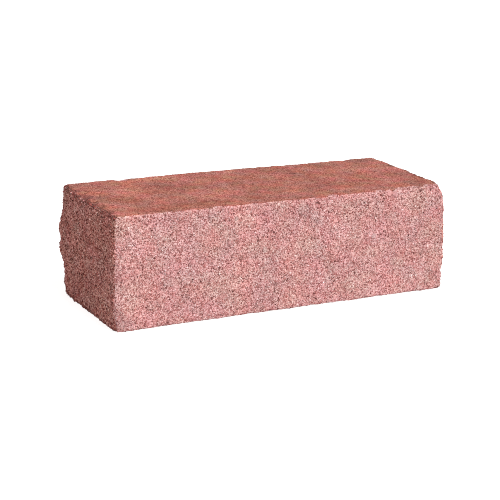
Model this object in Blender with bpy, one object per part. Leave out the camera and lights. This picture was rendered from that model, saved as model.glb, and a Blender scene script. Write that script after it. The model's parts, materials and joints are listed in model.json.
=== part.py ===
"""A split-face concrete walling block: a red cement matrix with stones showing in its four broken sides.

Metres, +Z up. X runs along the block's length, Y through its depth, with the front at -Y.
The origin is the centre of the bottom bed face. The two bed faces are flat from the mould.
The four sides are broken rock, bulging a little at mid height, and their proudest places
reach the block's stated size. Each stone is a body of its own, held in its own socket.
"""

import random
from math import cos, pi, sin, sqrt

import bmesh
import bpy
from mathutils import Matrix, Vector, noise

# Driving dimensions of the block
LENGTH = 0.300
DEPTH = 0.120
HEIGHT = 0.090

# Waves of the broken surface: how deep they reach in, and how long they are
BROAD_RELIEF, BROAD_WAVE = 0.0034, 0.055
FINE_RELIEF, FINE_WAVE = 0.0016, 0.015
POINT_SPACING = 0.0075  # between the points that carry the relief

# Crumbling at the edges
ARRIS = 0.0012  # width and height of the crumbled strip round each bed face
CORNER_WEAR, CORNER_REACH = 0.0007, 0.006  # depth and width of the wear at the upright corners

# Corners that lost a larger chip: X side, Y side, height, how deep, how far it reaches
CHIPS = (
    (1, -1, HEIGHT, 0.0030, 0.020),
    (-1, 1, HEIGHT, 0.0020, 0.020),
    (-1, 1, 0.0, 0.0030, 0.020),
    (1, 1, 0.0, 0.0026, 0.014),
    (-1, -1, 0.0, 0.0020, 0.013),
)

# The coarsest stones, which the break cut through
STONE_SMALLEST, STONE_LARGEST = 0.0040, 0.0068
STONE_CORNERS = 14
STONE_PROUD = 0.0003  # a stone's broken face stands this far out of the matrix round it
STONE_SUNK = (0.04, 0.18)  # least and most depth of a stone's centre, as a share of its size
STONE_EDGE_MARGIN = 0.010
STONE_SPACING = 0.015
SOCKET_GAP = 0.0003
STONE_SEED = 29

# Each material's colour and roughness
MATERIALS = {
    "red_concrete": ((0.50, 0.24, 0.21), 0.92),
    "pale_stone": ((0.72, 0.52, 0.48), 0.75),
    "rose_stone": ((0.58, 0.31, 0.28), 0.78),
    "grey_stone": ((0.45, 0.35, 0.33), 0.80),
    "dark_stone": ((0.18, 0.09, 0.08), 0.70),
}
STONE_MATERIALS = ("pale_stone", "rose_stone", "grey_stone", "pale_stone", "rose_stone", "dark_stone")


def evenly_spaced(start, end, spacing):
    """Places from start to end, both included, as near to the spacing as a whole number of steps allows."""
    steps = round((end - start) / spacing)
    return [start + (end - start) * i / steps for i in range(steps + 1)]


LEVELS = [0.0, *evenly_spaced(ARRIS, HEIGHT - ARRIS, POINT_SPACING), HEIGHT]


class BrokenSide:
    """One side of the block. Its own X runs along the side from the middle, Y is the height, Z points out."""

    def __init__(self, name, quarter_turns, length, distance, crown, wave_seed, stone_count):
        self.name = name
        self.wave_seed = wave_seed
        self.half_length = length / 2
        self.crown = crown
        self.stone_count = stone_count
        turn = Matrix.Rotation(quarter_turns * pi / 2, 4, "Z")
        upright = Matrix.Rotation(pi / 2, 4, "X")
        self.placing = turn @ Matrix.Translation((0, -distance, 0)) @ upright
        self.stations = evenly_spaced(-self.half_length, self.half_length, POINT_SPACING)
        self.proudest = 0.0
        self.proudest = min(self.depth(x, z) for x in self.stations for z in LEVELS)

    def depth(self, along, height):
        """How far the broken surface lies inside the stated size, before its edges wear."""
        from_middle = abs(2 * height / HEIGHT - 1)
        place = Vector((along, height, self.wave_seed))
        broad = 0.5 + 0.5 * noise.noise(place / BROAD_WAVE)
        fine = 0.5 + 0.5 * noise.noise(place / FINE_WAVE)
        relief = self.crown * from_middle**2 + BROAD_RELIEF * broad + FINE_RELIEF * fine
        return relief - self.proudest

    def worn_depth(self, along, height):
        """The depth with the wear at the upright corners, the bed faces' edges and the chips."""
        to_corner = self.half_length - abs(along)
        worn = self.depth(along, height) + CORNER_WEAR * max(0.0, 1 - to_corner / CORNER_REACH)
        if height in (0.0, HEIGHT):
            worn += ARRIS
        corner = self.placing @ Vector((self.half_length if along > 0 else -self.half_length, 0, 0))
        for x_side, y_side, chip_height, chip_depth, reach in CHIPS:
            if corner.x * x_side > 0 and corner.y * y_side > 0:
                distance = sqrt(to_corner**2 + (height - chip_height) ** 2)
                worn += chip_depth * max(0.0, 1 - distance / reach)
        return worn


SIDES = (
    BrokenSide("front", 0, LENGTH, DEPTH / 2, 0.0006, 124, 14),
    BrokenSide("right_end", 1, DEPTH, LENGTH / 2, 0.0012, 262, 6),
    BrokenSide("back", 2, LENGTH, DEPTH / 2, 0.0, 282, 14),
    BrokenSide("left_end", 3, DEPTH, LENGTH / 2, 0.0012, 17, 6),
)


def clear_scene():
    for obj in list(bpy.data.objects):
        bpy.data.objects.remove(obj, do_unlink=True)


def make_material(name):
    colour, roughness = MATERIALS[name]
    material = bpy.data.materials.new(name)
    material.use_nodes = True
    shader = material.node_tree.nodes["Principled BSDF"]
    shader.inputs["Base Color"].default_value = (*colour, 1.0)
    shader.inputs["Roughness"].default_value = roughness
    shader.inputs["Metallic"].default_value = 0.0
    return material


def add_object(name, mesh, material=None, parent=None):
    if material:
        mesh.materials.append(material)
    obj = bpy.data.objects.new(name, mesh)
    obj.parent = parent
    bpy.context.scene.collection.objects.link(obj)
    return obj


def outline_at(height):
    """The block's outline at one height, anticlockwise from above. Each side starts at the corner before it."""
    outline = []
    for before, side in zip((SIDES[-1], *SIDES), SIDES):
        for along in side.stations[:-1]:
            inset = 0.0
            if along == side.stations[0]:
                inset = before.worn_depth(before.half_length, height)
            depth = side.worn_depth(along, height)
            outline.append(side.placing @ Vector((along + inset, height, -depth)))
    return outline


def block_mesh():
    """The whole block as one closed mesh: rings of broken side between two flat bed faces."""
    bm = bmesh.new()
    rings = [[bm.verts.new(point) for point in outline_at(height)] for height in LEVELS]
    for lower, upper in zip(rings, rings[1:]):
        for i in range(len(lower)):
            bm.faces.new((lower[i - 1], lower[i], upper[i], upper[i - 1]))
    bm.faces.new(rings[-1])
    bm.faces.new(reversed(rings[0]))
    mesh = bpy.data.meshes.new("cement_matrix")
    bm.to_mesh(mesh)
    bm.free()
    return mesh


def crushed_stone(rng, size):
    """An angular stone about its own centre: the hull of corners spread evenly over an uneven ball."""
    bm = bmesh.new()
    half = [size / 2 * rng.uniform(0.75, 1.05) for axis in range(3)]
    golden_turn = pi * (3 - sqrt(5))
    start = rng.uniform(0, 2 * pi)
    for i in range(STONE_CORNERS):
        z = 1 - 2 * (i + 0.5) / STONE_CORNERS
        ring = sqrt(1 - z * z)
        angle = start + i * golden_turn + rng.uniform(-0.3, 0.3)
        bm.verts.new((half[0] * ring * cos(angle), half[1] * ring * sin(angle), half[2] * z))
    bmesh.ops.convex_hull(bm, input=list(bm.verts))
    bmesh.ops.recalc_face_normals(bm, faces=bm.faces)
    return bm


def add_socket(sockets, stone, placing):
    """Joins to the sockets' mesh a copy of the stone that is larger by the gap on every face."""
    nearest_face = min(abs(face.normal.dot(face.verts[0].co)) for face in stone.faces)
    mesh = bpy.data.meshes.new("socket")
    stone.to_mesh(mesh)
    mesh.transform(placing @ Matrix.Scale(1 + SOCKET_GAP / nearest_face, 4))
    sockets.from_mesh(mesh)
    bpy.data.meshes.remove(mesh)


def break_flat(stone, height):
    """Cuts off what lies above a height, and closes the cut with a flat face."""
    geometry = [*stone.verts, *stone.edges, *stone.faces]
    cut = {"plane_co": (0, 0, height), "plane_no": (0, 0, 1), "clear_outer": True}
    bmesh.ops.bisect_plane(stone, geom=geometry, **cut)
    bmesh.ops.holes_fill(stone, edges=[edge for edge in stone.edges if edge.is_boundary])
    bmesh.ops.recalc_face_normals(stone, faces=stone.faces)


def scattered_places(rng, side):
    """Places on one side that keep clear of its edges and of each other."""
    places = []
    reach = side.half_length - STONE_EDGE_MARGIN
    while len(places) < side.stone_count:
        height = rng.uniform(STONE_EDGE_MARGIN, HEIGHT - STONE_EDGE_MARGIN)
        place = Vector((rng.uniform(-reach, reach), height))
        if all((place - other).length > STONE_SPACING for other in places):
            places.append(place)
    return places


def add_stones(side, rng, sockets, materials):
    """The coarse stones of one side, each broken off flat with the block, and their sockets."""
    frame = add_object(f"{side.name}_frame", None)
    frame.matrix_world = side.placing
    for number, place in enumerate(scattered_places(rng, side), start=1):
        size = rng.uniform(STONE_SMALLEST, STONE_LARGEST)
        sunk = size * rng.uniform(*STONE_SUNK)
        depth = side.depth(place.x, place.y)
        centre = Vector((place.x, place.y, -depth - sunk))
        stone = crushed_stone(rng, size)
        add_socket(sockets, stone, side.placing @ Matrix.Translation(centre))
        break_flat(stone, sunk + min(STONE_PROUD, depth))
        mesh = bpy.data.meshes.new(f"{side.name}_stone_{number:02d}")
        stone.to_mesh(mesh)
        stone.free()
        material = materials[rng.choice(STONE_MATERIALS)]
        add_object(mesh.name, mesh, material, frame).location = centre


def cut_sockets(matrix, sockets):
    """Cuts the sockets out of the cement matrix with a hidden cutter."""
    mesh = bpy.data.meshes.new("stone_sockets")
    sockets.to_mesh(mesh)
    sockets.free()
    cutter = add_object("stone_sockets", mesh)
    cutter.hide_render = True
    cutter.display_type = "WIRE"
    cut = matrix.modifiers.new("Stone sockets", "BOOLEAN")
    cut.operation = "DIFFERENCE"
    cut.solver = "EXACT"
    cut.object = cutter


def build():
    clear_scene()
    materials = {name: make_material(name) for name in MATERIALS}
    matrix = add_object("cement_matrix", block_mesh(), materials["red_concrete"])
    rng = random.Random(STONE_SEED)
    sockets = bmesh.new()
    for side in SIDES:
        add_stones(side, rng, sockets, materials)
    cut_sockets(matrix, sockets)


build()
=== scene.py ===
"""The looks of the split-face walling block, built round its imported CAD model.

The cement is one closed skin, laid over the CAD block at a fine spacing and roughened. Its broken
sides are set with thousands of loose-looking grains, sorted by colour into six pieces, and the CAD
model's own coarse stones show between them. Everything is in metres, in the CAD model's frame.
"""

import json
from collections import namedtuple
from math import cos, pi, radians, sin, sqrt

import bmesh
import bpy
import numpy as np
from mathutils import Matrix, Vector, noise
from mathutils.bvhtree import BVHTree


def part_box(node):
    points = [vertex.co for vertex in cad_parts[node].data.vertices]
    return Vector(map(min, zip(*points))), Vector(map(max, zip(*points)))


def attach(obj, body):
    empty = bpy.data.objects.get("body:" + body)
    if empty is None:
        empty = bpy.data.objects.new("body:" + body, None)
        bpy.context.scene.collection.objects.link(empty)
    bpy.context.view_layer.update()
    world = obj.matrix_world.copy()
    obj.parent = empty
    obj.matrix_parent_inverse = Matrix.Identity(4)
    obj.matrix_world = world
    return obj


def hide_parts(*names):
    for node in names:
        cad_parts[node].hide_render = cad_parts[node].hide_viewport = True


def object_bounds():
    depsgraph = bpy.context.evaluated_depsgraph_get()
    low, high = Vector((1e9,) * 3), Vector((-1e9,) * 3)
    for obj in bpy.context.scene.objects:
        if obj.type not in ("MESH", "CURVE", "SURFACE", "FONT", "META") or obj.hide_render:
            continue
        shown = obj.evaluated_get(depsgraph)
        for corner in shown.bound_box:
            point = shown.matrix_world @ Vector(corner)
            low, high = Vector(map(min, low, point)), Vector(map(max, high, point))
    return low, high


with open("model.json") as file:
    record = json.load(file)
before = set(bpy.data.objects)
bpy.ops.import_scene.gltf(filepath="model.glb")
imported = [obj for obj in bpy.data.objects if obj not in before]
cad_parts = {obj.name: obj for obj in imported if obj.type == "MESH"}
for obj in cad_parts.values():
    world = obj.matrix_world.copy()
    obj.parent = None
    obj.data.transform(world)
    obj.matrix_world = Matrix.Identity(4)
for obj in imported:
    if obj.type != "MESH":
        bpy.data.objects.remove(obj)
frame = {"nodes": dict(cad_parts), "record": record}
cad_low, cad_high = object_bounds()
low, high = np.array(cad_low), np.array(cad_high)
SIZE = high - low
MIDDLE_HEIGHT = (low[2] + high[2]) / 2
MILLIMETRE = 0.001
SEED = 7

# The four sides, anticlockwise from above, and the way each faces
SIDE_NAMES = ("front", "right_end", "back", "left_end")
OUTWARD = np.array([(0, -1, 0), (1, 0, 0), (0, 1, 0), (-1, 0, 0)], float)
ENDS = (1, 3)

# ---------------------------------------------------------------- sizes of the cement skin

SKIN_STEP = 1.25 * MILLIMETRE
CORNER_FAN = 12 * MILLIMETRE  # within this of an upright corner the skin's rays turn round the corner
RAY_START = 5 * MILLIMETRE  # outside the block's box
FLAT_MARGIN = 0.05 * MILLIMETRE  # keeps a ray just off the plane of a bed face
STONE_PROUD = 0.35 * MILLIMETRE  # a CAD stone's face over the cement round it
STONE_COLLAR = 0.7 * MILLIMETRE  # width of the level cement round a CAD stone
ROUGH_FROM = 2.5 * STONE_COLLAR  # from a CAD stone's rim to where the cement is fully rough

# Each noise that shapes the skin: the length of its waves, and where in the noise it starts
NOISES = {
    "crest": (11 * MILLIMETRE, 3.1),
    "lump": (4.5 * MILLIMETRE, 9.2),
    "ragged_chip": (5 * MILLIMETRE, 44.2),
    "small_chip": (9 * MILLIMETRE, 31.7),
    "crumb": (2.4 * MILLIMETRE, 5.3),
    "mould_loss": (9 * MILLIMETRE, 17.1),
    "mould_edge": (3 * MILLIMETRE, 2.9),
    "bed_grain": (3 * MILLIMETRE, 12.9),
}

# The relief of the broken sides, in millimetres, before the long sides' and the ends' own factors
CREST_HEIGHT, LUMP_HEIGHT = 0.45, 0.40
SIDE_ROUGHNESS, END_ROUGHNESS = 0.8, 2.0
MEAN_RELIEF = 0.25
TOOTH = (-0.28, 0.22)
SAND_PITS = (0, 0.3)
HOLE_SHARE = 0.020  # of the skin's points, which lost their grain
HOLE_DEPTHS = (0.6, 1.5)
QUIET_EDGE = (-1 * MILLIMETRE, 2 * MILLIMETRE)  # the relief dies away over this distance from a bed face

# The relief of the bed faces, in millimetres
BED_GRAIN_RELIEF = 0.07
BED_TOOTH = (0, 0.10)
BED_HOLE_SHARE = 0.013
BED_HOLE_DEPTHS = (0.25, 0.9)

# The wear of the bed faces' edges: how far it reaches, and its parts in millimetres
WEAR_REACH = 1.5 * MILLIMETRE
LEAST_WEAR = 0.05
SMALL_CHIP_OVER = 0.15  # the height of its noise over which a small chip starts
SMALL_CHIP_DEPTH = 1.9
CRUMB_DEPTH = 1.2
WEAR_TOOTH = (0, 0.35)
LOWER_EDGE_WEAR = 0.4  # of the wear of the top's edges
WEAR_DROP = 0.7  # how far a worn point of a side also sinks, of its wear
BED_WEAR = 0.8  # how far a worn point of a bed face sinks, of its wear
# Painted shade is laid on this worn strip
WORN_RIM = 3.5 * MILLIMETRE  # height of the worn strip along the ends' edges
RIM_INSET = 2.5 * MILLIMETRE  # of the top's edges inside the block's stated size

# Chips off the top's edges. In millimetres: the side, how far along it from its middle, the depth
# and the reach
EDGE_CHIPS = (
    ("front", 144, 2.1, 9),
    ("front", 133, 1.5, 9),
    ("front", 117, 1.5, 9),
    ("front", 106, 1.6, 9),
    ("front", 84, 2.0, 6),
    ("front", -63, 2.4, 5),
    ("front", 40, 0.9, 7),
    ("left_end", -32, 0.9, 8),
    ("left_end", -11, 1.3, 11),
    ("left_end", 10, 1.0, 7),
    ("left_end", 21, 1.4, 9),
    ("left_end", 40, 0.9, 8),
    ("right_end", -50, 1.2, 10),
    ("right_end", -29, 1.0, 8),
    ("right_end", -19, 1.0, 8),
    ("right_end", -8, 0.8, 8),
    ("right_end", 22, 0.6, 9),
    ("back", 96, 0.9, 9),
)
CHIP_RAGGEDNESS = 0.6  # how much a noise changes a chip's depth, of that depth
# Hollows in the sides, and bulges, whose depth is below zero. In millimetres: the side, how far along it
# from its middle, the height, the depth and the reach
SIDE_HOLLOWS = (
    ("left_end", -57, 73, 1.3, 13),
    ("left_end", -57, 54, -1.6, 8),
    ("left_end", -57, 37, -1.2, 7),
    ("left_end", -57, 20, 2.2, 12),
    ("left_end", 57, 21, -2.2, 9),
)
DENT_FLOOR = 0.3  # the share of a dent's reach over which it has its full depth

# Where the mould's skin is lost along the rims of the bed faces, in millimetres from the edge
MOULD_LOSS, MOULD_LOSS_MORE = 0.5, 4.5  # everywhere, and more where the noise is high
MOULD_FADE = (-0.5, 0.7)
CHIP_THROUGH = (0.15 * MILLIMETRE, 0.4 * MILLIMETRE)  # the depth of a chip that breaks through it

# The skin's flat pattern: each chart's lower left corner on the sheet. The ends stand upright on it.
CHART_GAP = 4 * MILLIMETRE
SHEET = 2 * (SIZE[1] + SIZE[2]) + 4 * CHART_GAP  # its width, and its height
CHARTS = {
    "top": (0, 0),
    "bottom": (0, SIZE[1] + CHART_GAP),
    "front": (0, 2 * (SIZE[1] + CHART_GAP)),
    "back": (0, 2 * (SIZE[1] + CHART_GAP) + SIZE[2] + CHART_GAP),
    "right_end": (SIZE[0] + CHART_GAP, 0),
    "left_end": (SIZE[0] + CHART_GAP, SIZE[1] + CHART_GAP),
}

# ---------------------------------------------------------------- sizes and shares of the grains

# Each layer of grains on the sides: spacing, smallest and largest grain
GRAIN_LAYERS = (
    (1.4 * MILLIMETRE, 0.6 * MILLIMETRE, 1.1 * MILLIMETRE),
    (2.3 * MILLIMETRE, 1.4 * MILLIMETRE, 2.3 * MILLIMETRE),
)
BED_GRAIN_SPACING = 2.1 * MILLIMETRE
BED_GRAIN_SMALLEST, BED_GRAIN_LARGEST = 0.7 * MILLIMETRE, 1.7 * MILLIMETRE
SMALL_GRAIN_BIAS = 1.5  # a power: the higher, the more of the grains are small
GRAIN_JITTER = 0.6  # of the spacing
GRAIN_CLEARANCE = 0.1 * MILLIMETRE  # from a CAD stone's rim to the nearest grain's middle
GRAIN_SUNK = (0.0, 0.22)  # how far a grain's middle lies under the skin, of its size
BED_GRAIN_SUNK = 0.30  # of its size
BED_GRAIN_COVER = (0, 0.15)  # and millimetres more
GRAIN_OVER_TOP = 0.25 * MILLIMETRE  # the most that a grain stands over the top

# Larger pale stones at the rim of the front: how far along it, how high and how large, in millimetres
RIM_STONES = ((91, 87.0, 7.5), (97, 86.5, 7.5), (-20, 84.0, 5.0), (31, 6.0, 5.5), (-96, 7.5, 5.0))
RIM_STONE_SUNK = 0.17

GRAIN_SHAPES = 24
GRAIN_CORNERS = 8
CORNER_TURN = 0.45  # the most that a grain's corner strays round it, in radians
CORNER_REACH = (0.8, 1.1)
GRAIN_TILT = 0.35  # radians
GRAIN_WIDTH, GRAIN_HEIGHT = (0.8, 1.15), (0.5, 0.8)
# On the flat pattern a grain's upper faces fill most of its cell, and its lower faces one corner of it
CELL_FILLED, CELL_HIDDEN = 0.8, 0.02
LOWER_FACE = -0.1  # a face whose middle is under this height on a grain of unit size

# The shares of the kinds of grit, in the order of GRIT_COLOURS
LONG_SIDE_MIX = (0.31, 0.28, 0.06, 0.17, 0.18, 0)
# Painted shade: the ends' mix has more dark and red grit than the long sides', for the look of a shaded end
SHADED_END_MIX = (0.24, 0.08, 0, 0.38, 0.30, 0)
# Painted shade: more dark grit along the ends' rims than on the ends
WORN_SHADED_RIM_MIX = (0.06, 0.08, 0.01, 0.55, 0.30, 0)  # where the bed faces' skin is worn off next to the ends
RIM_STONE_MIX = (0, 1, 0, 0, 0, 0)
BED_MIX = (0, 0, 0, 0, 0, 1)  # where cement coats the grains

# ---------------------------------------------------------------- colours

# Three tones of each, dark, middle and pale, and where these lie on their ramp
MOULD_TONES = ((0.112, 0.028, 0.019), (0.37, 0.116, 0.089), (0.63, 0.285, 0.228))
# Partly painted shade: the broken cement's dark tone is deepened for the crevices between the grains, where
# this cement shows
BREAK_TONES = ((0.18, 0.068, 0.062), (0.46, 0.19, 0.18), (0.74, 0.46, 0.44))
# Painted shade: the ends' broken cement is redder and deeper than the long sides', the colour a shaded end
# shows
SHADED_END_TONES = ((0.09, 0.027, 0.022), (0.50, 0.175, 0.145), (0.84, 0.46, 0.40))
MOULD_AT, BREAK_AT, END_AT = (0.20, 0.45, 0.78), (0.15, 0.42, 0.78), (0.15, 0.45, 0.85)
MINERAL_AT = (0.15, 0.5, 0.88)
GRIT_COLOURS = {
    "pale_grit": ((0.60, 0.35, 0.342), (0.74, 0.475, 0.468), (0.89, 0.655, 0.64)),
    "pink_grit": ((0.45, 0.20, 0.20), (0.58, 0.285, 0.285), (0.70, 0.39, 0.385)),
    "grey_grit": ((0.37, 0.19, 0.18), (0.50, 0.295, 0.282), (0.61, 0.41, 0.395)),
    "dark_grit": ((0.12, 0.036, 0.033), (0.215, 0.071, 0.065), (0.33, 0.123, 0.113)),
    "red_grit": ((0.31, 0.098, 0.087), (0.44, 0.165, 0.150), (0.57, 0.265, 0.245)),
    "bed_grit": ((0.135, 0.034, 0.024), (0.38, 0.120, 0.092), (0.62, 0.288, 0.232)),
}
STONE_COLOURS = {
    "pale_stone": ((0.36, 0.17, 0.165), (0.70, 0.45, 0.43), (0.92, 0.72, 0.69)),
    "rose_stone": ((0.24, 0.09, 0.088), (0.58, 0.28, 0.27), (0.84, 0.54, 0.52)),
    "grey_stone": ((0.22, 0.10, 0.097), (0.54, 0.34, 0.325), (0.76, 0.56, 0.53)),
    "dark_stone": ((0.08, 0.03, 0.027), (0.30, 0.13, 0.12), (0.62, 0.36, 0.34)),
}
# Painted shade: a redder, deeper tint on the grains of the ends, by kind, and on the ends' CAD stones, the
# colour a shaded end shows
GRIT_END_SHADE = {
    "pale_grit": (1.18, 1.04, 0.99, 1),
    "pink_grit": (1.04, 0.88, 0.84, 1),
    "grey_grit": (1.04, 0.88, 0.84, 1),
    "dark_grit": (0.88, 0.50, 0.44, 1),
    "red_grit": (1.03, 0.81, 0.75, 1),
    "bed_grit": (1.0, 1.0, 1.0, 1),
}
END_SHADE = np.array([0.86, 0.66, 0.60])
# Painted shade: darkens the cement along the ends' crumbled rims
WORN_RIM_SHADE = (0.62, 0.60, 0.60, 1)
MOTTLE_SHADES = ((0.35, (0.70, 0.67, 0.67)), (0.65, (1.18, 1.18, 1.18)))

# Broad patches over every material. Each layer: their size, the noise's detail, and the tints at its ends
PATCH_LAYERS = (
    (13 * MILLIMETRE, 2.0, (0.36, (1.06, 0.88, 0.90)), (0.64, (0.95, 1.12, 1.08))),  # pinker or greyer
    (18 * MILLIMETRE, 2.0, (0.36, (1.0, 1.0, 1.13)), (0.64, (1.0, 1.0, 0.87))),  # cooler or warmer
    (30 * MILLIMETRE, 3.0, (0.32, (0.79, 0.79, 0.79)), (0.68, (1.21, 1.21, 1.21))),  # darker or lighter
)
# How strong each layer of patches is
BED_PATCHES = (1.0, 0.85, 1.0)
SIDE_PATCHES = (0.5, 0.25, 0.33)

# ---------------------------------------------------------------- grain of the materials

# Noises, as size, detail and roughness
RAGGED_RIM = (3 * MILLIMETRE, 2.0, 0.5)
FINE_SAND = (0.8 * MILLIMETRE, 3.0, 0.65)
SPECKS = (0.6 * MILLIMETRE, 3.0, 0.7)
TINY_SPECKS = (0.5 * MILLIMETRE, 4.0, 0.7)
# Sizes of cells
SAND, COARSE_SAND = 0.8 * MILLIMETRE, 0.9 * MILLIMETRE

RIM_STRAY = 0.9  # how far the noise moves the rim of the mould's skin, as a share of the fade across it
RIM_CUT = ((0.42, (0, 0, 0)), (0.58, (1, 1, 1)))  # and how sharply the skin then ends on that fade
FINE_SAND_SHARE = 0.3  # of the mould skin's tone, the rest being cells of sand
MOTTLE_SHARE = 0.4  # of a CAD stone's tone, the rest being coarse cells
GRAIN_TINT, GRAIN_MOTTLE = 0.8, 0.25  # how much a grain's own tint and the mottle count in its tone
CEMENT_BUMP, MINERAL_BUMP = 0.4 * MILLIMETRE, 0.3 * MILLIMETRE
BUMP_STRENGTH = 0.6
SPECULAR = 0.25
CEMENT_ROUGHNESS = (0.95, 0.85)
MINERAL_ROUGHNESS = (0.9, 0.7)
GREYS_AT = (0.3, 0.7)  # where the two ends of a range of greys, or of roughnesses, lie on their ramp

# ---------------------------------------------------------------- camera and light

# The camera, from the block's middle: degrees, metres and the lens's focal length in millimetres
AZIMUTH, ELEVATION, ROLL = -28.05, 15.90, 1.63
DISTANCE = 1.1565
SHIFT_RIGHT, SHIFT_UP = 0.0042, 0.0105
LENS, SENSOR = 100.9, 36.0

KEY_FROM = (0.32, -0.62, 0.72)
KEY_STRENGTH = 3.65
KEY_SOFTNESS = 40  # degrees across
SKY_STRENGTH = 0.34
SKY_COLOUR = (1.0, 0.885, 0.84)
WHITE = (1, 1, 1, 1)

FLOOR_HALF = 6.0  # from its middle to each side
FLOOR_DROP = 0.2 * MILLIMETRE  # of the floor under the block
FLOOR_GREYS = (0.45, 0.4635)
FLOOR_PATCHES = (0.6, 2.0)  # size and detail
FLOOR_GLOW = 0.35  # the floor is a lit table, which fills the shadows a little
FLOOR_GLOW_SEEN = 0.88  # by the camera


# ---------------------------------------------------------------- small helpers


def noise_at(points, kind):
    """One of the named noises, from about -1 to 1, at each row of points."""
    wave, start = NOISES[kind]
    scaled = np.asarray(points, float) / wave + start
    return np.array([noise.noise(point) for point in scaled.tolist()])


def ridges_at(points, kind):
    """A named noise made 1 along sharp crests and falling towards 0 between them."""
    return 1 - np.abs(noise_at(points, kind)) * 2


def smooth_step(values, start, end):
    t = np.clip((values - start) / (end - start), 0, 1)
    return t * t * (3 - 2 * t)


def nearer_an_end(points):
    """Whether each point of a bed face lies nearer one of the block's ends than its front or back."""
    points = np.asarray(points)
    return high[0] - np.abs(points[..., 0]) < high[1] - np.abs(points[..., 1])


def near_a_bed(points):
    """Whether each point of a side lies in the crumbled strip next to the top or the bottom, painted darker
    as shade on the ends.
    """
    return np.minimum(points[..., 2] - low[2], high[2] - points[..., 2]) < WORN_RIM


def add_piece(name, points, faces, material, uv, attributes):
    """One mesh object of the visual model, with its numbers on each point that the material reads."""
    mesh = bpy.data.meshes.new(name)
    mesh.from_pydata(points, [], faces)
    layer = mesh.uv_layers.new(name="OFBake")
    layer.data.foreach_set("uv", np.asarray(uv, np.float32).ravel())
    for key, values in attributes.items():
        attribute = mesh.attributes.new(key, "FLOAT", "POINT")
        attribute.data.foreach_set("value", np.asarray(values, np.float32))
    mesh.materials.append(material)
    mesh.validate()
    obj = bpy.data.objects.new(name, mesh)
    bpy.context.scene.collection.objects.link(obj)
    return obj


# ---------------------------------------------------------------- the sides of the cement skin


class Outline:
    """Places round the box's outline, anticlockwise from its front left corner, and rays into the block."""

    def __init__(self):
        self.across = round(SIZE[0] / SKIN_STEP)
        self.deep = round(SIZE[1] / SKIN_STEP)
        self.starts = np.cumsum([0, self.across, self.deep, self.across])
        self.count = 2 * (self.across + self.deep)
        corners = [(low[0], low[1]), (high[0], low[1]), (high[0], high[1]), (low[0], high[1])]
        points = []
        for i, steps in enumerate((self.across, self.deep, self.across, self.deep)):
            start, end = np.array(corners[i]), np.array(corners[(i + 1) % 4])
            points += [start + (end - start) * j / steps for j in range(steps)]
        self.points = np.array(points)
        inner = np.clip(self.points, low[:2] + CORNER_FAN, high[:2] - CORNER_FAN)
        out = self.points - inner
        self.out = out / np.linalg.norm(out, axis=1)[:, None]
        self.side = np.searchsorted(self.starts, np.arange(self.count), side="right") - 1


def cad_stones():
    """For each CAD stone: the side it is in, the middle of its face and how far it reaches from there."""
    stones = []
    for name in sorted(frame["nodes"]):
        if "stone" not in name:
            continue
        lowest, highest = (np.array(corner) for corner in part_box(name))
        middle, half = (lowest + highest) / 2, (highest - lowest) / 2
        side = SIDE_NAMES.index(name.rsplit("_stone", 1)[0])
        out = OUTWARD[side]
        face = middle + out * (half @ np.abs(out))
        reach = max(half * (1 - np.abs(out)))
        stones.append((side, face, reach))
    return stones


def side_rows(outline, levels):
    """Where the skin's rays meet the CAD block: one row of points for each level."""
    node = frame["nodes"]["cement_matrix"].data
    tree = BVHTree.FromPolygons([v.co for v in node.vertices], [tuple(p.vertices) for p in node.polygons])
    rows = np.empty((len(levels), outline.count, 3))
    for i, level in enumerate(levels):
        at = min(max(level, low[2] + FLAT_MARGIN), high[2] - FLAT_MARGIN)
        for j, (point, out) in enumerate(zip(outline.points, outline.out)):
            direction = Vector((-out[0], -out[1], 0))
            start = Vector((point[0], point[1], at)) - direction * RAY_START
            hit = tree.ray_cast(start, direction)[0]
            rows[i, j] = (hit.x, hit.y, level)
    return rows


def level_round_stones(rows, outline, stones):
    """Lays the skin just under each CAD stone's face, over its socket.

    Returns each point's way to the nearest stone's rim.
    """
    to_stone = np.full(rows.shape[:2], np.inf)
    for side, face, reach in stones:
        columns = np.nonzero(outline.side == side)[0]
        out = OUTWARD[side]
        part = rows[:, columns]
        away = part - face
        away -= (away @ out)[..., None] * out
        distance = np.linalg.norm(away, axis=2)
        inside = distance < reach + STONE_COLLAR
        drop = (part @ out) - (face @ out - STONE_PROUD)
        part[inside] -= drop[inside][:, None] * out
        rows[:, columns] = part
        to_stone[:, columns] = np.minimum(to_stone[:, columns], distance - reach)
    return to_stone


def skin_normals(rows):
    """Outward unit normals of the rows of points round the block."""
    along = np.roll(rows, -1, axis=1) - np.roll(rows, 1, axis=1)
    up = np.gradient(rows, axis=0)
    normals = np.cross(along, up)
    return normals / np.linalg.norm(normals, axis=2)[..., None]


def dent(points, side, along, height, depth, reach):
    """How deep one dent in a side is at each point. Its place, depth and reach are in millimetres."""
    out = OUTWARD[SIDE_NAMES.index(side)]
    right = np.array((-out[1], out[0], 0))
    place = out * (abs(out @ high) - RIM_INSET) + MILLIMETRE * (right * along + np.array((0, 0, height)))
    away = np.linalg.norm(points - place, axis=1) / (reach * MILLIMETRE)
    return depth * MILLIMETRE * (1 - smooth_step(away, DENT_FLOOR, 1))


def chip_depths(points):
    """How deep the larger chips off the top's edges are at each point."""
    top = high[2] / MILLIMETRE
    chips = [dent(points, side, along, top, depth, reach) for side, along, depth, reach in EDGE_CHIPS]
    return np.max(chips, axis=0) * (1 + CHIP_RAGGEDNESS * noise_at(points, "ragged_chip"))


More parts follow.
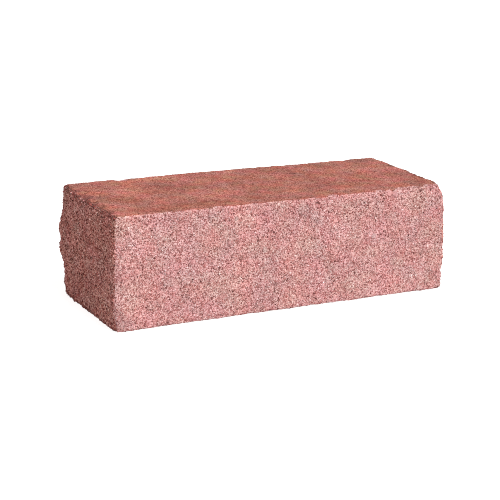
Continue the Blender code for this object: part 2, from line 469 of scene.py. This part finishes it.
def edge_wear(points, to_edge, rng):
    """How much of the bed faces' edges has crumbled away at each point, from its distance to the edge."""
    nearness = np.exp(-to_edge / WEAR_REACH)
    chips = np.maximum(0, noise_at(points, "small_chip") - SMALL_CHIP_OVER) * SMALL_CHIP_DEPTH
    crumbs = np.maximum(0, noise_at(points, "crumb")) * CRUMB_DEPTH
    tooth = rng.uniform(*WEAR_TOOTH, len(points))
    wear = nearness * (LEAST_WEAR + chips + crumbs + tooth) * MILLIMETRE
    wear *= np.where(points[:, 2] < MIDDLE_HEIGHT, LOWER_EDGE_WEAR, 1)
    return np.maximum(wear, chip_depths(points))


def holes(count, share, depths, rng):
    """The depth of a hole at a few of a number of points, and 0 at the rest."""
    return np.where(rng.random(count) < share, rng.uniform(*depths, count), 0)


def roughen_sides(rows, to_stone, outline, rng):
    """Breaks up the four sides with crests and hollows, a coarse tooth and holes that lost their grain."""
    flat = rows.reshape(-1, 3)
    away = smooth_step(to_stone.ravel(), STONE_COLLAR, ROUGH_FROM)
    beside = smooth_step(to_stone.ravel(), 0, STONE_COLLAR)
    normals = skin_normals(rows).reshape(-1, 3)
    relief = ridges_at(flat, "crest") * CREST_HEIGHT + noise_at(flat, "lump") * LUMP_HEIGHT
    relief *= np.where(np.isin(np.tile(outline.side, len(rows)), ENDS), END_ROUGHNESS, SIDE_ROUGHNESS)
    tooth = rng.uniform(*TOOTH, len(flat))
    pits = holes(len(flat), HOLE_SHARE, HOLE_DEPTHS, rng) + rng.uniform(*SAND_PITS, len(flat))
    push = ((relief - MEAN_RELIEF + tooth) * away - pits * beside) * MILLIMETRE
    to_edge = np.minimum(flat[:, 2] - low[2], high[2] - flat[:, 2])
    wear = edge_wear(flat, to_edge, rng)
    push = push * smooth_step(to_edge, *QUIET_EDGE) - wear
    push -= sum(dent(flat, *hollow) for hollow in SIDE_HOLLOWS)
    moved = flat + normals * push[:, None]
    towards_bed = np.where(flat[:, 2] > MIDDLE_HEIGHT, 1, -1)
    moved[:, 2] -= towards_bed * wear * WEAR_DROP
    return moved.reshape(rows.shape)


# ---------------------------------------------------------------- the bed faces of the cement skin


def bed_points(ring, outline):
    """The points of a bed face, filled in between the points of the skin's last ring."""
    nx, ny = outline.across, outline.deep
    front = ring[: nx + 1]
    right = ring[nx : nx + ny + 1]
    back = ring[nx + ny : 2 * nx + ny + 1][::-1]
    left = np.vstack([ring[2 * nx + ny :], ring[:1]])[::-1]
    s = np.linspace(0, 1, nx + 1)[:, None, None]
    t = np.linspace(0, 1, ny + 1)[None, :, None]
    corners = (
        (1 - s) * (1 - t) * front[0] + s * (1 - t) * front[-1] + (1 - s) * t * back[0] + s * t * back[-1]
    )
    grid = (1 - t) * front[:, None] + t * back[:, None] + (1 - s) * left[None] + s * right[None] - corners
    return grid[1:-1, 1:-1].reshape(-1, 3)


def bed_hollows(points, rng):
    """Depth of a bed face's fine grain and of the small holes that trapped air left in it."""
    grain = BED_GRAIN_RELIEF * (1 + noise_at(points, "bed_grain"))
    tooth = rng.uniform(*BED_TOOTH, len(points))
    return (grain + tooth + holes(len(points), BED_HOLE_SHARE, BED_HOLE_DEPTHS, rng)) * MILLIMETRE


def bed_face(ring, outline, rng, up):
    """A bed face inside the skin's last ring.

    With its points come how much each keeps of the mould skin's colour, and whether sand is bare there.
    """
    points = bed_points(ring, outline)
    nx, ny = outline.across, outline.deep
    cells = np.stack(np.meshgrid(np.arange(1, nx), np.arange(1, ny), indexing="ij"), -1).reshape(-1, 2)
    to_edge = np.minimum(cells, np.array([nx, ny]) - cells).min(axis=1) * SKIN_STEP
    level = high[2] if up > 0 else low[2]
    points[:, 2] = level - up * edge_wear(points, to_edge, rng) * BED_WEAR
    points[:, 2] -= up * bed_hollows(points, rng)
    lost = MOULD_LOSS + MOULD_LOSS_MORE * np.maximum(0, noise_at(points, "mould_loss"))
    lost += noise_at(points, "mould_edge")
    mould = smooth_step(to_edge / MILLIMETRE - lost, *MOULD_FADE)
    mould *= 1 - smooth_step(chip_depths(points), *CHIP_THROUGH)
    bare = mould < 0.5
    # Painted shade: bare cement next to the ends gets the skin's deep red in place of the paler broken sand
    mould[nearer_an_end(points)] = 1  # the cement worn bare there is as deep a red as the skin
    return points, mould, bare


# ---------------------------------------------------------------- the cement as one piece

# The outline's points and rays, the rows of points round the block, each one's way to the nearest CAD
# stone's rim, and the bed faces
Skin = namedtuple("Skin", "outline rows to_stone beds")


def side_faces(outline, levels):
    """The quads between the rows of points round the block, and their places on the flat pattern."""
    faces, uv = [], []
    n = outline.count
    for i in range(len(levels) - 1):
        bottom, top = levels[i] - low[2], levels[i + 1] - low[2]
        for j in range(n):
            k = (j + 1) % n
            faces.append((i * n + j, i * n + k, (i + 1) * n + k, (i + 1) * n + j))
            side = outline.side[j]
            step = j - outline.starts[side]
            near, far = step * SKIN_STEP, (step + 1) * SKIN_STEP
            corners = [(near, bottom), (far, bottom), (far, top), (near, top)]
            if side in ENDS:
                corners = [(v, u) for u, v in corners]
            x, y = CHARTS[SIDE_NAMES[side]]
            uv += [(x + u, y + v) for u, v in corners]
    return faces, uv


def bed_faces(outline, chart, first_inner, first_ring):
    """The quads of a bed face, and their places on the flat pattern.

    Its points are numbered from first_inner, and those of the ring round it from first_ring.
    """
    nx, ny = outline.across, outline.deep

    def point_number(i, j):
        if 0 < i < nx and 0 < j < ny:
            return first_inner + (i - 1) * (ny - 1) + (j - 1)
        if j == 0:
            step = i
        elif i == nx:
            step = nx + j
        elif j == ny:
            step = nx + ny + (nx - i)
        else:
            step = 2 * nx + ny + (ny - j)
        return first_ring + step % outline.count

    faces, uv = [], []
    x, y = CHARTS[chart]
    for i in range(nx):
        for j in range(ny):
            corners = [(i, j), (i + 1, j), (i + 1, j + 1), (i, j + 1)]
            if chart == "bottom":
                corners.reverse()
            faces.append(tuple(point_number(*corner) for corner in corners))
            uv += [(x + a * SKIN_STEP, y + b * SKIN_STEP) for a, b in corners]
    return faces, uv


def cement_skin(material, rng):
    """The closed skin of cement, and the places on it for the grains.

    Its points say, for its colour, where it keeps the mould's skin, where it is an end, painted in shade,
    and where its rim next to the ends is painted darker as shade.
    """
    outline = Outline()
    levels = np.linspace(low[2], high[2], round(SIZE[2] / SKIN_STEP) + 1)
    rows = side_rows(outline, levels)
    to_stone = level_round_stones(rows, outline, cad_stones())
    rows = roughen_sides(rows, to_stone, outline, rng)
    upper, upper_mould, upper_bare = bed_face(rows[-1], outline, rng, 1)
    lower, lower_mould, lower_bare = bed_face(rows[0], outline, rng, -1)
    side_count = len(levels) * outline.count
    points = np.vstack([rows.reshape(-1, 3), upper, lower])

    faces, uv = side_faces(outline, levels)
    for chart, first_inner, first_ring in (
        ("top", side_count, side_count - outline.count),
        ("bottom", side_count + len(upper), 0),
    ):
        more_faces, more_uv = bed_faces(outline, chart, first_inner, first_ring)
        faces += more_faces
        uv += more_uv

    at_end = np.isin(np.tile(outline.side, len(levels)), ENDS)
    worn_shaded_rims = [bare & nearer_an_end(bed) for bed, bare in ((upper, upper_bare), (lower, lower_bare))]
    attributes = {
        "mould": np.concatenate([np.zeros(side_count), upper_mould, lower_mould]),
        "end": np.concatenate([at_end, np.zeros(len(upper) + len(lower))]),
        "worn_shaded_rim": np.concatenate([at_end & near_a_bed(rows).ravel(), *worn_shaded_rims]),
    }
    cement = add_piece("cement", points, faces, material, np.array(uv) / SHEET, attributes)
    cement.data.shade_smooth()
    cells = (outline.across - 1, outline.deep - 1)
    beds = [
        (bed.reshape(*cells, 3), bare.reshape(cells), up)
        for bed, bare, up in ((upper, upper_bare, 1), (lower, lower_bare, -1))
    ]
    return cement, Skin(outline, rows, to_stone, beds)


# ---------------------------------------------------------------- the grains


def grain_shapes(rng):
    """Angular grains of about unit size, as the hulls of a few random corners. The break faces up."""
    golden_angle = pi * (3 - sqrt(5))
    shapes = []
    for i in range(GRAIN_SHAPES):
        bm = bmesh.new()
        for j in range(GRAIN_CORNERS):
            z = 1 - 2 * (j + 0.5) / GRAIN_CORNERS
            turn = j * golden_angle + rng.uniform(-CORNER_TURN, CORNER_TURN)
            ring = sqrt(1 - z * z) * rng.uniform(*CORNER_REACH)
            bm.verts.new((ring * cos(turn) / 2, ring * sin(turn) / 2, z / 2))
        bmesh.ops.convex_hull(bm, input=list(bm.verts))
        bmesh.ops.recalc_face_normals(bm, faces=bm.faces)
        bm.verts.index_update()
        points = np.array([v.co for v in bm.verts])
        faces = np.array([[v.index for v in face.verts] for face in bm.faces if len(face.verts) == 3])
        bm.free()
        shapes.append((points, faces))
    return shapes


def turned(normal, spin, tilt_x, tilt_y):
    """A rotation that stands a grain's Z along the normal, after a spin and a small tilt."""
    upright = Vector(normal).to_track_quat("Z", "Y").to_matrix()
    tilt = Matrix.Rotation(tilt_x, 3, "X") @ Matrix.Rotation(tilt_y, 3, "Y")
    return np.array(upright @ tilt @ Matrix.Rotation(spin, 3, "Z"))


def grain_size(smallest, largest, rng):
    return smallest + (largest - smallest) * rng.random() ** SMALL_GRAIN_BIAS


def side_grain_places(skin, rng):
    """Scattered places on the four sides, one at random in each cell of a grid.

    A place is a point, the normal there, the grain's size, how far it is sunk and the mix it comes from.
    """
    rows, outline = skin.rows, skin.outline
    normals = skin_normals(rows)
    levels, columns = rows.shape[:2]
    around = columns * SKIN_STEP
    tall = (levels - 1) * SKIN_STEP
    for spacing, smallest, largest in GRAIN_LAYERS:
        for a, b in np.ndindex(int(around / spacing), int(tall / spacing)):
            u = (a + 0.5 + rng.uniform(-0.5, 0.5) * GRAIN_JITTER) * spacing / SKIN_STEP
            v = (b + 0.5 + rng.uniform(-0.5, 0.5) * GRAIN_JITTER) * spacing / SKIN_STEP
            i, j = int(v), int(u)
            k = (j + 1) % columns
            s, t = u - j, v - i
            if skin.to_stone[i, j] < GRAIN_CLEARANCE:
                continue
            point = (
                rows[i, j] * (1 - s) * (1 - t)
                + rows[i, k] * s * (1 - t)
                + rows[i + 1, j] * (1 - s) * t
                + rows[i + 1, k] * s * t
            )
            if outline.side[j] in ENDS:
                mix = WORN_SHADED_RIM_MIX if near_a_bed(point) else SHADED_END_MIX
            else:
                mix = LONG_SIDE_MIX
            size = grain_size(smallest, largest, rng)
            yield point, normals[i, j], size, size * rng.uniform(*GRAIN_SUNK), mix


def rim_stone_places(skin):
    """The larger pale stones at the rim of the front, sunk so that little more than their face shows."""
    normals = skin_normals(skin.rows)
    for along, height, size in RIM_STONES:
        column = round((along * MILLIMETRE - low[0]) / SKIN_STEP)
        row = round(height * MILLIMETRE / SKIN_STEP)
        size *= MILLIMETRE
        yield skin.rows[row, column], normals[row, column], size, RIM_STONE_SUNK * size, RIM_STONE_MIX


def bed_grain_places(skin, rng):
    """Scattered places on the two bed faces, for grains that barely show through the cement."""
    pitch = BED_GRAIN_SPACING / SKIN_STEP
    for grid, bare, up in skin.beds:
        for a in np.arange(0, grid.shape[0] - 1 - pitch, pitch):
            for b in np.arange(0, grid.shape[1] - 1 - pitch, pitch):
                i, j = int(a + rng.uniform(0, pitch)), int(b + rng.uniform(0, pitch))
                size = grain_size(BED_GRAIN_SMALLEST, BED_GRAIN_LARGEST, rng)
                sunk = size * BED_GRAIN_SUNK + rng.uniform(*BED_GRAIN_COVER) * MILLIMETRE
                mix = BED_MIX
                if bare[i, j]:
                    mix = WORN_SHADED_RIM_MIX if nearer_an_end(grid[i, j]) else LONG_SIDE_MIX
                yield grid[i, j], np.array([0, 0, up]), size, sunk, mix


def add_grit(skin, rng, materials):
    """The grains of all the faces, as one object for each kind of grit."""
    shapes = grain_shapes(rng)
    kinds = tuple(GRIT_COLOURS)
    gathered = {kind: [] for kind in kinds}
    places = (*side_grain_places(skin, rng), *rim_stone_places(skin), *bed_grain_places(skin, rng))
    for point, normal, size, sunk, mix in places:
        kind = kinds[rng.choice(len(mix), p=mix)]
        shape = rng.integers(GRAIN_SHAPES)
        spin = rng.uniform(0, 2 * pi)
        turn = turned(normal, spin, rng.normal(0, GRAIN_TILT), rng.normal(0, GRAIN_TILT))
        stretch = [rng.uniform(*GRAIN_WIDTH), rng.uniform(*GRAIN_WIDTH), rng.uniform(*GRAIN_HEIGHT)]
        # painted shade: the grains of the ends get a redder, deeper tint
        end_shaded = mix in (SHADED_END_MIX, WORN_SHADED_RIM_MIX)
        grain = point - normal * sunk, turn, size * np.array(stretch), shape, rng.random(), end_shaded
        gathered[kind].append(grain)
    return [grit_piece(kind, grains, shapes, materials[kind]) for kind, grains in gathered.items()]


def grit_piece(kind, grains, shapes, material):
    """One object of all the grains of a kind. Each has a cell of its own on the flat pattern."""
    points, faces, uv, tints, end_shade_masks = [], [], [], [], []
    cells = int(sqrt(len(grains))) + 1
    first = 0
    for number, (centre, turn, stretch, shape, tint, end_shaded) in enumerate(grains):
        corners, triangles = shapes[shape]
        placed = (corners * stretch) @ turn.T + centre
        placed[:, 2] = np.clip(placed[:, 2], low[2], high[2] + GRAIN_OVER_TOP)
        points.append(placed)
        faces.append(triangles + first)
        first += len(corners)
        tints.append(np.full(len(corners), tint))
        end_shade_masks.append(np.full(len(corners), float(end_shaded)))
        cell = np.array([number % cells, number // cells])
        in_cell = (corners[:, :2] * CELL_FILLED + 0.5)[triangles]
        is_upper = corners[triangles][:, :, 2].mean(axis=1) > LOWER_FACE
        uv.append((np.where(is_upper[:, None, None], in_cell, CELL_HIDDEN * in_cell) + cell) / cells)
    attributes = {"tint": np.concatenate(tints), "end_shade_tint": np.concatenate(end_shade_masks)}
    points, faces, uv = np.vstack(points), np.vstack(faces).tolist(), np.vstack(uv).reshape(-1, 2)
    return add_piece(kind, points, faces, material, uv, attributes)


# ---------------------------------------------------------------- materials


class Nodes:
    """Short ways to add shader nodes to one material."""

    def __init__(self, name):
        self.material = bpy.data.materials.new(name)
        self.material.use_nodes = True
        self.tree = self.material.node_tree
        self.shader = self.tree.nodes["Principled BSDF"]
        self.shader.inputs["Specular IOR Level"].default_value = SPECULAR
        self.place = self.tree.nodes.new("ShaderNodeTexCoord").outputs["Object"]

    def link(self, output, target):
        self.tree.links.new(output, target)

    def put(self, value, target):
        """Joins a socket to an input, or sets the input to a plain value."""
        if isinstance(value, bpy.types.NodeSocket):
            self.link(value, target)
        else:
            target.default_value = value

    def noise(self, size, detail, roughness=0.5):
        node = self.tree.nodes.new("ShaderNodeTexNoise")
        node.inputs["Scale"].default_value = 1 / size
        node.inputs["Detail"].default_value = detail
        node.inputs["Roughness"].default_value = roughness
        self.link(self.place, node.inputs["Vector"])
        return node.outputs["Fac"]

    def cells(self, size, output="Color"):
        """Irregular cells like those of packed sand: a random value in each, or the way to its middle."""
        node = self.tree.nodes.new("ShaderNodeTexVoronoi")
        node.inputs["Scale"].default_value = 1 / size
        self.link(self.place, node.inputs["Vector"])
        return node.outputs[output]

    def attribute(self, name):
        node = self.tree.nodes.new("ShaderNodeAttribute")
        node.attribute_name = name
        return node.outputs["Fac"]

    def ramp(self, factor, stops):
        node = self.tree.nodes.new("ShaderNodeValToRGB")
        elements = node.color_ramp.elements
        while len(elements) < len(stops):
            elements.new(0.5)
        for element, (position, colour) in zip(elements, stops):
            element.position = position
            element.color = (*colour, 1.0)
        self.link(factor, node.inputs["Fac"])
        return node.outputs["Color"]

    def tones(self, factor, colours, places):
        """A ramp through three tones of one colour."""
        return self.ramp(factor, tuple(zip(places, colours)))

    def maths(self, operation, a, b):
        node = self.tree.nodes.new("ShaderNodeMath")
        node.operation = operation
        self.put(a, node.inputs[0])
        self.put(b, node.inputs[1])
        return node.outputs["Value"]

    def blend(self, a, b, share):
        """Some of one value and the rest of another, as (1 - share) of a and share of b."""
        return self.maths("ADD", self.maths("MULTIPLY", a, 1 - share), self.maths("MULTIPLY", b, share))

    def between(self, factor, a, b, how="MIX"):
        node = self.tree.nodes.new("ShaderNodeMix")
        node.data_type = "RGBA"
        node.blend_type = how
        self.put(factor, node.inputs["Factor"])
        self.put(a, node.inputs[6])  # the colour inputs A and B
        self.put(b, node.inputs[7])
        return node.outputs[2]

    def tinted(self, factor, colour, tint):
        """The colour times a tint, as far as the factor says."""
        return self.between(factor, colour, self.between(1.0, colour, tint, "MULTIPLY"))

    def patchy(self, colour, strengths):
        """The colour with broad patches of pinker, warmer and paler concrete, alike in every material."""
        for strength, (size, detail, *stops) in zip(strengths, PATCH_LAYERS):
            colour = self.between(strength, colour, self.ramp(self.noise(size, detail), stops), "MULTIPLY")
        return colour

    def greys(self, factor, values):
        """A grey, or a roughness, that goes from the first value to the second as the factor rises."""
        return self.ramp(factor, [(place, (value,) * 3) for place, value in zip(GREYS_AT, values)])

    def bump(self, height, distance):
        node = self.tree.nodes.new("ShaderNodeBump")
        node.inputs["Strength"].default_value = BUMP_STRENGTH
        node.inputs["Distance"].default_value = distance
        self.link(height, node.inputs["Height"])
        return node.outputs["Normal"]

    def finish(self, colour, roughness, normal):
        self.put(colour, self.shader.inputs["Base Color"])
        self.put(roughness, self.shader.inputs["Roughness"])
        self.link(normal, self.shader.inputs["Normal"])
        return self.material


def cement_material():
    """Red cement: fine-grained and a deeper red on the bed faces, sandy and paler where it is broken, with
    painted shade: redder and deeper on the ends, and darker along their rims.
    """
    n = Nodes("Red cement")
    stray = n.maths("MULTIPLY", n.maths("SUBTRACT", n.noise(*RAGGED_RIM), 0.5), RIM_STRAY)
    is_mould = n.ramp(n.maths("ADD", n.attribute("mould"), stray), RIM_CUT)

    fine = n.noise(*FINE_SAND)
    mould_sand = n.blend(n.cells(SAND), fine, FINE_SAND_SHARE)
    mould_colour = n.patchy(n.tones(mould_sand, MOULD_TONES, MOULD_AT), BED_PATCHES)

    sand = n.cells(SAND)
    side_colour = n.tones(sand, BREAK_TONES, BREAK_AT)
    # painted shade: redder, deeper tones of the same sand on the ends
    shaded_end_colour = n.tones(sand, SHADED_END_TONES, END_AT)
    sand_colour = n.patchy(n.between(n.attribute("end"), side_colour, shaded_end_colour), SIDE_PATCHES)
    colour = n.between(is_mould, sand_colour, mould_colour)
    # painted shade: darker along the ends' rims
    colour = n.tinted(n.attribute("worn_shaded_rim"), colour, WORN_RIM_SHADE)

    height = n.maths("ADD", n.noise(*SPECKS), n.cells(COARSE_SAND, "Distance"))
    return n.finish(colour, n.greys(fine, CEMENT_ROUGHNESS), n.bump(height, CEMENT_BUMP))


def mineral(name, colours, end_shade_tint=None, patches=SIDE_PATCHES):
    """Stone of one kind, with a fine mottle over its three tones.

    A piece of grit has one tone in each grain, by the grain's own tint, and a painted shade tint, redder and
    deeper, on the ends.
    """
    n = Nodes(name)
    mottle = n.noise(*SPECKS)
    if end_shade_tint:
        tint = n.maths("MULTIPLY", n.attribute("tint"), GRAIN_TINT)
        tone = n.maths("ADD", tint, n.maths("MULTIPLY", mottle, GRAIN_MOTTLE))
        colour = n.tinted(n.attribute("end_shade_tint"), n.tones(tone, colours, MINERAL_AT), end_shade_tint)
    else:
        colour = n.tones(n.blend(n.cells(COARSE_SAND), mottle, MOTTLE_SHARE), colours, MINERAL_AT)
    colour = n.patchy(n.between(1.0, colour, n.ramp(mottle, MOTTLE_SHADES), "MULTIPLY"), patches)
    normal = n.bump(n.noise(*TINY_SPECKS), MINERAL_BUMP)
    return n.finish(colour, n.greys(mottle, MINERAL_ROUGHNESS), normal)


def grit_materials():
    materials = {}
    for kind, tones in GRIT_COLOURS.items():
        patches = BED_PATCHES if kind == "bed_grit" else SIDE_PATCHES
        materials[kind] = mineral(kind.replace("_", " ").capitalize(), tones, GRIT_END_SHADE[kind], patches)
    return materials


def dress_cad_stones():
    """Gives every CAD stone the mineral of its slot in the record, with painted shade, redder and deeper, on
    the ends.
    """
    minerals = {}
    for slot, tones in STONE_COLOURS.items():
        name = slot.replace("_", " ").capitalize()
        # painted shade: redder, deeper tones for the stones of the ends
        end_shaded = [tuple(np.array(tone) * END_SHADE) for tone in tones]
        minerals[slot] = mineral(name, tones), mineral(f"{name} at the ends", end_shaded)
    slots = {part["node"]: part["material_slot"] for part in frame["record"]["subparts"]}
    for name, obj in frame["nodes"].items():
        if "stone" in name:
            obj.data.materials.clear()
            obj.data.materials.append(minerals[slots[name]]["_end_" in name])


# ---------------------------------------------------------------- studio


def add_floor():
    """A pale table, lit a little from below, that looks white to the camera."""
    n = Nodes("Studio floor")
    n.put(n.greys(n.noise(*FLOOR_PATCHES), FLOOR_GREYS), n.shader.inputs["Base Color"])
    n.shader.inputs["Emission Color"].default_value = WHITE
    path = n.tree.nodes.new("ShaderNodeLightPath")
    extra = n.maths("MULTIPLY", path.outputs["Is Camera Ray"], FLOOR_GLOW_SEEN - FLOOR_GLOW)
    n.put(n.maths("ADD", extra, FLOOR_GLOW), n.shader.inputs["Emission Strength"])
    n.shader.inputs["Roughness"].default_value = 1.0
    mesh = bpy.data.meshes.new("floor")
    corners = [(x * FLOOR_HALF, y * FLOOR_HALF, 0) for x, y in ((-1, -1), (1, -1), (1, 1), (-1, 1))]
    mesh.from_pydata(corners, [], [(0, 1, 2, 3)])
    mesh.materials.append(n.material)
    floor = bpy.data.objects.new("floor", mesh)
    floor.location.z = low[2] - FLOOR_DROP
    bpy.context.scene.collection.objects.link(floor)


def add_key_light():
    """A wide soft light from the front right, well above the block."""
    light = bpy.data.lights.new("Key", "SUN")
    light.energy = KEY_STRENGTH
    light.angle = radians(KEY_SOFTNESS)
    obj = bpy.data.objects.new("Key", light)
    obj.rotation_euler = (-Vector(KEY_FROM)).to_track_quat("-Z", "Y").to_euler()
    bpy.context.scene.collection.objects.link(obj)


def add_world():
    """White behind the block, and a dimmer, warmer light from all round."""
    world = bpy.data.worlds.new("Studio")
    world.use_nodes = True
    tree = world.node_tree
    seen = tree.nodes["Background"]
    seen.inputs["Color"].default_value = WHITE
    seen.inputs["Strength"].default_value = 1.0
    lighting = tree.nodes.new("ShaderNodeBackground")
    lighting.inputs["Color"].default_value = (*SKY_COLOUR, 1)
    lighting.inputs["Strength"].default_value = SKY_STRENGTH
    path = tree.nodes.new("ShaderNodeLightPath")
    mix = tree.nodes.new("ShaderNodeMixShader")
    tree.links.new(path.outputs["Is Camera Ray"], mix.inputs["Fac"])
    tree.links.new(lighting.outputs["Background"], mix.inputs[1])
    tree.links.new(seen.outputs["Background"], mix.inputs[2])
    tree.links.new(mix.outputs["Shader"], tree.nodes["World Output"].inputs["Surface"])
    bpy.context.scene.world = world


def add_camera():
    azimuth, elevation, roll = (radians(angle) for angle in (AZIMUTH, ELEVATION, ROLL))
    back = Vector((sin(azimuth) * cos(elevation), -cos(azimuth) * cos(elevation), sin(elevation)))
    level_right = Vector((cos(azimuth), sin(azimuth), 0))
    level_up = back.cross(level_right)
    right = level_right * cos(roll) + level_up * sin(roll)
    up = level_up * cos(roll) - level_right * sin(roll)
    camera = bpy.data.cameras.new("Camera")
    camera.lens = LENS
    camera.sensor_width = SENSOR
    obj = bpy.data.objects.new("Camera", camera)
    place = Vector((0, 0, MIDDLE_HEIGHT)) - right * SHIFT_RIGHT - up * SHIFT_UP + back * DISTANCE
    turn = Matrix((right, up, back)).transposed().to_4x4()
    obj.matrix_world = Matrix.Translation(place) @ turn
    bpy.context.scene.collection.objects.link(obj)
    bpy.context.scene.camera = obj


def keep_grain_sharp():
    """Plain colours, and an image filter and a denoiser that leave the materials' fine grain alone."""
    scene = bpy.context.scene
    scene.view_settings.view_transform = "Standard"
    scene.cycles.filter_width = 1.0
    scene.cycles.denoising_prefilter = "NONE"


def main():
    rng = np.random.default_rng(SEED)
    cement, skin = cement_skin(cement_material(), rng)
    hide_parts("cement_matrix")
    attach(cement, "root")
    for piece in add_grit(skin, rng, grit_materials()):
        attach(piece, "root")
    dress_cad_stones()
    add_floor()
    add_world()
    add_key_light()
    add_camera()
    keep_grain_sharp()


main()
